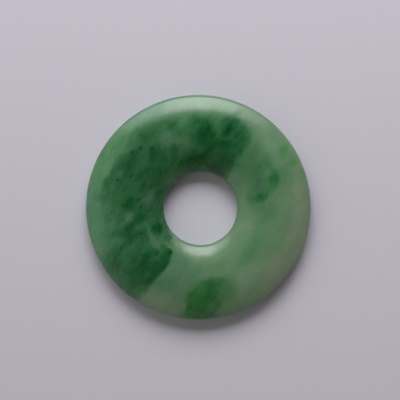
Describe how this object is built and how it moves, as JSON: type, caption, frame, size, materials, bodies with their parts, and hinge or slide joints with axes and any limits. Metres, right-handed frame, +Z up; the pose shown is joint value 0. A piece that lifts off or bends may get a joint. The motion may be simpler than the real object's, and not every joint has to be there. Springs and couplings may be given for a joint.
{
  "type": "jade bi disc",
  "caption": "Thin polished ring of mottled green jade with a gently domed face, rounded edges and a flat back; worn on a cord or set as an inlay.",
  "frame": {"origin": "centre of the rim's circle, on the plane that the flat back rests on", "axes": "+Z up through the disc, from the flat back to the domed face; +Y towards the deep green half's upper side, +X towards the pale side"},
  "size_m": [0.05, 0.05, 0.0051],
  "materials": {
    "jade": "polished, translucent, mottled from pale grey-green to deep emerald green"
  },
  "bodies": {
    "root": {"jade_disc": "jade"}
  },
  "joints": []
}
